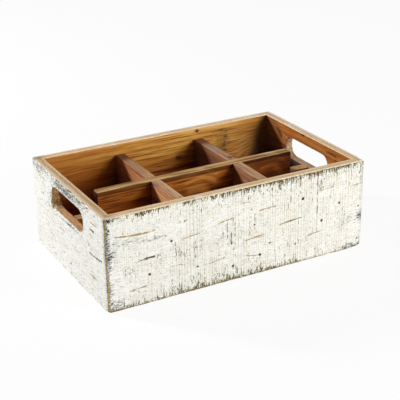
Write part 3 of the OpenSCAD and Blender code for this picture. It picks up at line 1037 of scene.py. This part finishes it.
# Scratches: start, end, bow, strength, darkness at the end. Pits: middle, radius, depth.
# Kerfs: place, foot, top, strength. Spots of saw marks and grime: middle, two reaches, strength.
# Other rows: place along the edge and amount.
FRONT_WEAR = {
    **NO_WEAR,
    "scratches": [
        (-165, 93, -113, 90, -1.6, 1.0, 0.3), (-149, 20.5, -124, 23, 0.4, 1.0, 0.3),
        (-95, 39, -79, 38.5, 0.3, 0.8, 0.8), (-79, 70.5, -57, 72.5, 0.3, 1.0, 0.8),
        (-31.5, 79, -10.5, 81.5, 0.3, 0.9, 0.6), (3, 47.5, 31, 50, 0.4, 0.9, 0.2),
        (22, 82.5, 47.5, 84, 0.3, 0.9, 0.4), (-2.5, 98, 14.5, 96, 0.5, 0.6, 0.1),
        (-48, 29.5, -21, 33, 0.3, 0.7, 0.2), (2, 29, 26, 24.5, -0.6, 0.7, 0.6),
        (51.5, 57.5, 79.5, 60, 0.3, 1.0, 1.2), (90, 33, 114, 35.5, 0.4, 0.9, 0.4),
        (110.5, 89.5, 132.5, 90.5, 0.3, 0.8, 0.3), (156, 85.5, 169, 87, 0.3, 0.9, 0.9),
        (-136, 56, -120.5, 58, 0.4, 1.0, 2.2), (-49, 97, -38, 97.5, 0.2, 0.5, 0.1),
    ],
    "holes": [
        (-93, 71.5, 1.3, 1.0), (-121.6, 36.5, 1.4, 1.0), (-59.5, 30.4, 1.1, 0.8), (86.3, 84.4, 1.7, 1.2),
        (140.4, 67.2, 1.3, 1.0), (114.5, 49.3, 1.5, 1.0), (-13.5, 48.9, 0.9, 0.8), (39.6, 36.9, 1.2, 0.9),
        (25.7, 24.4, 1.5, 1.2), (-11.7, 18.9, 1.5, 1.2), (76.5, 26.4, 1.0, 0.8), (17.5, 66.1, 1.0, 0.8),
        (-75.3, 92.3, 0.9, 0.6),
    ],
    "nails": NAILS,
    "kerfs": [
        (107.5, 36, 114, 1.1), (68.5, 84, 114, 0.9), (80.5, 27, 61, 0.55), (11.5, 53, 79, 0.6),
        (-19.3, 49, 78, 0.5), (-63, 43, 57, 0.7), (18.3, 52, 92, 0.45), (-88.3, 49, 67, 0.65),
        (-93, 6, 22, 0.75), (-81, 2, 15, 0.85), (-9, 42, 77, 0.5), (-30.7, 47, 81, 0.4),
        (-25.4, 46, 75, 0.45), (-14.6, 43, 77, 0.4),
    ],
    "top": [
        (-175, 0.5), (-156, 0.1), (-150, 0.1), (-147, 0.8), (-142, 0.1), (-136, 0.9), (-120, 0.9),
        (-116, 0.3), (-110, 0.8), (-96, 0.9), (-92, 0.2), (-80, 0.2), (-74, 0.9), (-60, 0.5),
        (-40, 0.8), (0, 0.9), (55, 0.9), (85, 0.75), (130, 0.85), (150, 0.75), (175, 0.6),
    ],
    "hang": [(-175, 8), (-60, 9), (-40, 11), (40, 13), (70, 14), (120, 15), (175, 13)],
    "foot": [
        (-175, 0.9), (-130, 0.8), (-80, 1.0), (-20, 1.0), (70, 0.95), (90, 0.5), (130, 0.5), (150, 0.7),
        (175, 0.8),
    ],
    "stand": [(-175, 8), (-130, 7), (-95, 11), (-60, 14), (0, 15), (40, 12), (80, 8), (100, 6), (175, 6)],
    "saw": [
        (-20, 61, 17, 13, 0.27), (-144, 46, 13, 10, 0.31), (70, 25, 28, 10, 0.16), (-109, 56, 6, 5, 0.4),
        (-82, 53, 14, 10, 0.36), (-57, 56, 14, 10, 0.38), (110, 100, 60, 12, 0.06), (150, 45, 14, 9, 0.3),
    ],
    "grime": [
        (-176, 60, 3, 60, 0.55), (-166, 114, 11, 3.2, 1.2), (-172, 97, 3.2, 16, 1.1),
        (-168, 72, 8, 12, 0.7), (-171.5, 60, 3.4, 20, 0.6), (-145, 46, 11, 9, 0.25),
        (-150, 84, 18, 4, 0.5), (-116, 80, 18, 3.0, 0.62), (-126, 57, 7, 2, 0.8),
        (-165, 8, 12, 8, 0.62), (153, 43, 16, 8, 0.45), (173, 43, 4, 8, 1.3), (158, 4, 13, 4, 0.9),
        (-172, 25, 6, 14, 0.45), (174, 90, 2, 30, 0.5),
    ],
    "comb": [(-175, 0.3), (-110, 0.45), (-60, 0.9), (40, 0.8), (80, 1.2), (150, 1.1), (175, 0.9)],
    "corners": (5.0, 7.0, 2.0, 2.0),
    "left_bare": [
        (0, 2.8), (12, 2.1), (25, 3.0), (36, 3.4), (45, 2.3), (58, 1.9), (75, 1.7), (95, 1.8),
        (110, 2.5), (117, 3.4),
    ],
    "left_knocks": [(31, 9, 0.6), (7, 5, 0.4)],
    "right_bare": 0.1,
    "right_knocks": [(41, 5, 0.8)],
    "foot_bare": [
        (-175, 3.4), (-166, 2.4), (-152, 1.0), (-120, 1.0), (-60, 1.2), (0, 1.3), (90, 1.5), (140, 1.2),
        (175, 0.4),
    ],
    "foot_knocks": [(-95, 20, 0.4), (-30, 14, 0.5), (165, 7, 1.2)],
}

LEFT_WEAR = {
    **NO_WEAR,
    "scratches": [
        (66.5, 98, 90.5, 99.7, 0.4, 0.9, 0.6), (61, 58, 96, 60.3, -0.8, 1.2, 2.2),
        (56.5, 29, 81, 29.7, 0.4, 0.9, 0.8), (-67, 31.3, -47, 32.3, 0.4, 0.8, 0.8),
        (58, 69.4, 65.5, 66.4, 0.3, 2.2, 0.2), (-26, 54.5, -12.5, 52.8, 0.4, 0.7, 0.2),
        (-88, 98, -81, 92.5, 0.2, 0.6, 0.9), (68, 83, 74, 81, 0.2, 2.2, 0.2),
        (67, 89, 75, 90, 0.2, 2.0, 2.4),
    ],
    "holes": [(-80.3, 79.3, 1.1, 0.6), (0.2, 16.3, 1.1, 0.8)],
    "top": [(-100, 0.4), (-60, 0.5), (-20, 0.7), (40, 0.7), (70, 0.3), (100, 0.3)],
    "hang": [(-100, 8), (100, 8)],
    "foot": [(-100, 0.3), (0, 0.4), (100, 0.4)],
    "stand": [(-100, 5), (100, 5)],
    "saw": [(0, 108, 50, 6, 0.5), (-60, 60, 40, 25, 0.2), (20, 45, 60, 25, 0.16), (-80, 100, 25, 12, 0.2)],
    "grime": [
        (0, 109, 55, 5, 1.0), (-97, 110, 12, 7, 0.8), (-78, 113, 14, 3, 0.7), (4, 68.5, 40, 2.0, 0.8),
        (-52, 82, 4, 12, 0.8), (3, 69.5, 15, 1.8, 0.6), (50, 88, 2.5, 12, 0.5), (0, 103, 50, 2.0, 0.5),
    ],
    "comb": [(-100, 0.4), (100, 0.3)],
    "left_bare": 0.1,
    "right_bare": 0.1,
    "foot_bare": 0.6,
    "slot_end_knocks": [(74.0, 6.5, 6.0)],
    "slot_lip_knocks": [(-48.0, 6.5, 5.0)],
}


def strewn_wear(seed, half, nails):
    """Wear for a wall that the photo does not show: seeded scratches, pits, kerfs, saw spots and smears."""
    draw = np.random.default_rng(seed)
    scratches = []
    for at_u, at_v, length, tilt in draw.uniform((-half, 15, 12, -2), (half - 25, 100, 30, 3), (12, 4)):
        strength, tone = draw.uniform((0.6, 0.1), (1.0, 1.2))
        scratches.append((at_u, at_v, at_u + length, at_v + tilt, 0.4, strength, tone))
    holes = [tuple(row) for row in draw.uniform((-half, 12, 1.0, 0.7), (half, 70, 1.6, 1.2), (9, 4))]
    kerfs = []
    for at, low, run in draw.uniform((-half, 8, 12), (half, 70, 40), (9, 3)):
        touching = any(row[0] - 4 < at < row[2] + 4 and -4 < row[1] - low < run + 4 for row in scratches)
        if not touching:
            kerfs.append((at, low, low + run, 0.6))
    saw = [tuple(row) for row in draw.uniform((-half, 20, 10, 8, 0.1), (half, 100, 35, 20, 0.32), (9, 5))]
    grime = [tuple(row) for row in draw.uniform((-half, 5, 6, 3, 0.3), (half, 112, 22, 9, 0.6), (9, 5))]
    places = np.linspace(-half, half, 17)
    top = list(zip(places, draw.uniform(0.2, 1.0, 17)))
    foot = list(zip(places, draw.uniform(0.4, 1.0, 17)))
    return {
        **NO_WEAR, "scratches": scratches, "holes": holes, "nails": nails, "kerfs": kerfs, "saw": saw,
        "grime": grime, "top": top, "foot": foot, "hang": [(-half, 6), (0, 12), (half, 10)],
        "stand": [(-half, 7), (0, 11), (half, 7)], "comb": [(-half, 0.5), (0, 0.9), (half, 0.7)],
        "corners": (4.0, 2.5, 1.5, 1.5), "left_bare": 0.8, "left_knocks": [(30, 12, 1.0)],
        "right_bare": 0.5, "right_knocks": [(80, 10, 0.8)], "foot_bare": 0.7,
        "foot_knocks": [(40, 20, 0.5)],
    }


BACK_WEAR = strewn_wear(17, 165, NAILS)
BACK_WEAR["inner_pits"] = [(-97, 90, 1.0, 0.4), (-26, 80, 1.1, 0.4), (-54.5, 112, 1.1, 0.5)]
RIGHT_WEAR = strewn_wear(29, 90, [])
RIGHT_WEAR["holes"] = []
RIGHT_WEAR["saw"] = [(*row[:4], row[4] * 0.55) for row in RIGHT_WEAR["saw"]]
RIGHT_WEAR["comb"] = LEFT_WEAR["comb"]
RIGHT_WEAR["left_bare"] = RIGHT_WEAR["right_bare"] = 0.1

SIDE_LOOK = {
    "along": "x", "stain": SIDE_STAIN, "stain_and_shade_low": SIDE_STAIN_AND_SHADE_LOW,
    "knots": BACK_KNOTS, "arches": BACK_ARCHES,
    "dash_grain": (0.75, 0.75, 0.18), "dash_share": 0.4, "scuff_grain": (0.09, 0.9), "scuffed": 0.2,
}
END_LOOK = {
    "along": "y", "stain": END_STAIN, "stain_and_shade_low": END_STAIN_AND_SHADE_LOW, "knots": END_KNOTS, "arches": (),
    "dash_grain": (0.5, 0.14, 0.9), "dash_share": 0.58, "scuff_grain": (0.15, 1.3), "scuffed": 0.5,
}
side_finish = wall_finish("worn_paint_long", SIDE_LOOK)
end_finish = wall_finish("worn_paint_end", END_LOOK)
wall_board("front_board", "front", FRONT_WEAR, side_finish, 51)
wall_board("back_board", "back", BACK_WEAR, side_finish, 52)
wall_board("left_end_board", "left", LEFT_WEAR, end_finish, 53, slotted=True)
wall_board("right_end_board", "right", RIGHT_WEAR, end_finish, 54, slotted=True)

# Dividers and base

low, high = board_box("base_panel", AXES["up"])
base_lines = [
    Edge(axis, at, side, (low[1 - axis], high[1 - axis]), FOOT_ARRIS)
    for axis in (0, 1) for at, side in ((low[axis], -1), (high[axis], 1))
]
base_finish = stained_finish("stained_base", "x", (4, 2, 9), BASE_STAIN_AND_SHADE, BASE_STAIN_AND_SHADE, FAR)
plain_board(
    "base_panel", "base_board", "up", "crate", base_finish, BASE_STEP, base_lines, (),
    lambda u, v: np.ones(u.shape, bool))

low, high = board_box("long_divider", AXES["front"])
long_lines = [
    Edge(1, high[1], 1, (-TALL_HALF_LENGTH, TALL_HALF_LENGTH), TOP_ARRIS),
    Edge(1, low[1], -1, (low[0], high[0]), FOOT_ARRIS),
]
for side, end in ((-1, low[0]), (1, high[0])):
    tall_end = side * TALL_HALF_LENGTH
    long_lines += [
        Edge(0, end, side, (low[1], LEDGE_LEVEL), END_ARRIS, UNWORN),
        Edge(0, tall_end, side, (LEDGE_LEVEL, high[1]), TALL_ARRIS, UNWORN),
        Edge(1, LEDGE_LEVEL, 1, sorted((end, tall_end)), LEDGE_ARRIS),
    ]
for centre in CROSS_CENTRES:
    lap = (centre - LAP_HALF_WIDTH, centre + LAP_HALF_WIDTH)
    long_lines.append(Edge(1, LAP_CEILING, -1, lap, LAP_ARRIS))
    for side, at in zip((-1, 1), lap):
        long_lines.append(Edge(0, at, -side, (low[1], LAP_CEILING), LAP_ARRIS))
long_corners = [(side * TALL_HALF_LENGTH, high[1], side, 1, LONG_CORNER) for side in (-1, 1)]


def long_filled(u, v):
    """Filled cells of the long divider: low at both ends, slotted from below at the two laps."""
    tall = (v < LEDGE_LEVEL) | (np.abs(u) < TALL_HALF_LENGTH)
    for centre in CROSS_CENTRES:
        tall &= ~((np.abs(u - centre) < LAP_HALF_WIDTH) & (v < LAP_CEILING))
    return tall


long_finish = stained_finish(
    "stained_long", "x", (1, 6, 2), LONG_STAIN, LONG_TOP, high[1],
    streak_depth=5.0, arches=LONG_ARCHES, knots=LONG_KNOTS, dull=("x", 30, 110, 0.34),
    end_grain=(TALL_HALF_LENGTH, LEDGE_LEVEL))
plain_board(
    "long_divider", "long_divider_board", "front", "long", long_finish, DIVIDER_STEP,
    long_lines, long_corners, long_filled)

long_middle = -(low[2] + high[2]) / 2
lap = (long_middle - LAP_HALF_WIDTH, long_middle + LAP_HALF_WIDTH)


def cross_filled(u, v):
    """Filled cells of a cross divider: slotted from above where the long divider crosses it."""
    return (np.abs(u - long_middle) > LAP_HALF_WIDTH) | (v < LAP_FLOOR)


for node, body, shift, stain, knocks, knots in (
    ("left_cross_divider", "left_cross", (5, 1, 3), LEFT_CROSS_STAIN, (), ()),
    ("right_cross_divider", "right_cross", (8, 3, 7), RIGHT_CROSS_STAIN, ((17, 6, 1.6),), CHIP),
):
    low, high = board_box(node, AXES["right"])
    cross_lines = [
        Edge(0, low[0], -1, (low[1], high[1]), END_ARRIS),
        Edge(0, high[0], 1, (low[1], high[1]), END_ARRIS),
        Edge(1, low[1], -1, (low[0], high[0]), FOOT_ARRIS),
        Edge(1, high[1], 1, (low[0], lap[0]), TOP_ARRIS),
        Edge(1, high[1], 1, (lap[1], high[0]), TOP_ARRIS, knocks=knocks),
        Edge(1, LAP_FLOOR, 1, lap, LAP_ARRIS),
        Edge(0, lap[0], 1, (LAP_FLOOR, high[1]), LAP_ARRIS),
        Edge(0, lap[1], -1, (LAP_FLOOR, high[1]), LAP_ARRIS),
    ]
    cross_finish = stained_finish(
        "stained_" + body, "y", shift, stain, CROSS_TOP, high[1],
        knots=knots, dull=("y", -60, 95, 0.22), back_wall_shadow=(66, 84))
    plain_board(
        node, node + "_board", "right", body, cross_finish, DIVIDER_STEP, cross_lines, (),
        cross_filled)

nail_steel = nail_finish("dull_nail_steel")
for name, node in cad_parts.items():
    if name.endswith(("_nails", "_brads")):
        for material_slot in node.material_slots:
            material_slot.material = nail_steel

# Camera, from the photo's corners

MIDDLE = np.array([0, 0, HEIGHT / 2 * MM])
AZIMUTH, ELEVATION, ROLL = np.radians([-28.321, 23.425, -0.914])
DISTANCE, ASIDE, ALOFT = 1.320459, 0.003543, 0.002248
FOCAL_PIXELS = 1042.651
IMAGE_PIXELS = 400
SENSOR = 36.0


def aim(turn, rise):
    """Right, up and out directions of a level view, turned from the front towards the right and raised."""
    out = np.array([math.sin(turn) * math.cos(rise), -math.cos(turn) * math.cos(rise), math.sin(rise)])
    right = np.array([math.cos(turn), math.sin(turn), 0.0])
    return right, np.cross(out, right), out


def put(item, right, up, out, place):
    """Puts a camera or lamp at a place, looking back along its out direction."""
    pose = np.eye(4)
    pose[:3] = np.stack([right, up, out, place], 1)
    item.matrix_world = pose.T.tolist()
    bpy.context.scene.collection.objects.link(item)


level_right, level_up, back = aim(AZIMUTH, ELEVATION)
right = math.cos(ROLL) * level_right + math.sin(ROLL) * level_up
up = math.cos(ROLL) * level_up - math.sin(ROLL) * level_right
camera_data = bpy.data.cameras.new("camera")
camera_data.sensor_width = SENSOR
camera_data.lens = FOCAL_PIXELS / IMAGE_PIXELS * SENSOR
camera = bpy.data.objects.new("camera", camera_data)
put(camera, right, up, back, MIDDLE + back * DISTANCE + right * ASIDE + up * ALOFT)
bpy.context.scene.camera = camera

# Floor, world and lamps

FLOOR_HALF = 6.0
AMBIENT = 0.04
SHADOW_SHARE = 0.08
PLAIN_WHITE = (1.0, 1.0, 1.0, 1.0)
FLOOR_WHITE = (0.85, 0.85, 0.85, 1.0)
SKY_WHITE = (0.97, 0.985, 1.0, 1.0)


def seen_directly(start):
    """1 for rays from the camera, mirrors and glass, 0 for light."""
    names = ("Is Camera Ray", "Is Glossy Ray", "Is Transmission Ray")
    direct, mirrored, through = (start.node("LightPath", out=name) for name in names)
    return direct.most(mirrored).most(through)


floor_mesh = bpy.data.meshes.new("floor")
floor_corners = [(a * FLOOR_HALF, b * FLOOR_HALF, 0) for a, b in ((-1, -1), (1, -1), (1, 1), (-1, 1))]
floor_mesh.from_pydata(floor_corners, [], [(0, 1, 2, 3)])
floor = bpy.data.objects.new("floor", floor_mesh)
bpy.context.scene.collection.objects.link(floor)
floor_paint = bpy.data.materials.new("pale_floor")
floor_paint.use_nodes = True
floor_start = Socket(floor_paint.node_tree)
floor_seen = seen_directly(floor_start)
floor_tone = floor_seen.blend(FLOOR_WHITE, PLAIN_WHITE)
matt = floor_start.node("BsdfDiffuse", None, {"Color": floor_tone})
glow = floor_start.node("Emission", None, {"Color": PLAIN_WHITE, "Strength": 1.0})
share = floor_seen * (1 - SHADOW_SHARE)
floor_mix = floor_start.node("MixShader", None, {0: share, 1: matt, 2: glow})
floor_output = floor_paint.node_tree.nodes["Material Output"]
floor_paint.node_tree.links.new(floor_mix.link, floor_output.inputs["Surface"])
floor_mesh.materials.append(floor_paint)

world = bpy.data.worlds.new("studio")
bpy.context.scene.world = world
world.use_nodes = True
sky = Socket(world.node_tree)
shown = seen_directly(sky)
strength = shown * (1 - AMBIENT) + AMBIENT
sky_tone = shown.blend(SKY_WHITE, PLAIN_WHITE)
backdrop = sky.node("Background", None, {"Color": sky_tone, "Strength": strength})
world.node_tree.links.new(backdrop.link, world.node_tree.nodes["World Output"].inputs["Surface"])


def soft_lamp(name, azimuth, elevation, distance, size, watts, colour):
    """A square lamp aimed at the middle of the caddy; azimuth 0 is in front, 90 on the right."""
    data = bpy.data.lights.new(name, "AREA")
    data.size = size
    data.energy = watts
    data.color = colour
    right, up, out = aim(math.radians(azimuth), math.radians(elevation))
    put(bpy.data.objects.new(name, data), right, up, out, out * distance + MIDDLE)


soft_lamp("key_lamp", 33, 15, 2.2, 1.2, 48, (1.0, 0.985, 0.96))
soft_lamp("back_left_lamp", -136, 26.5, 2.2, 0.3, 51, (1.0, 0.99, 0.99))

bpy.context.scene.view_settings.view_transform = "Standard"
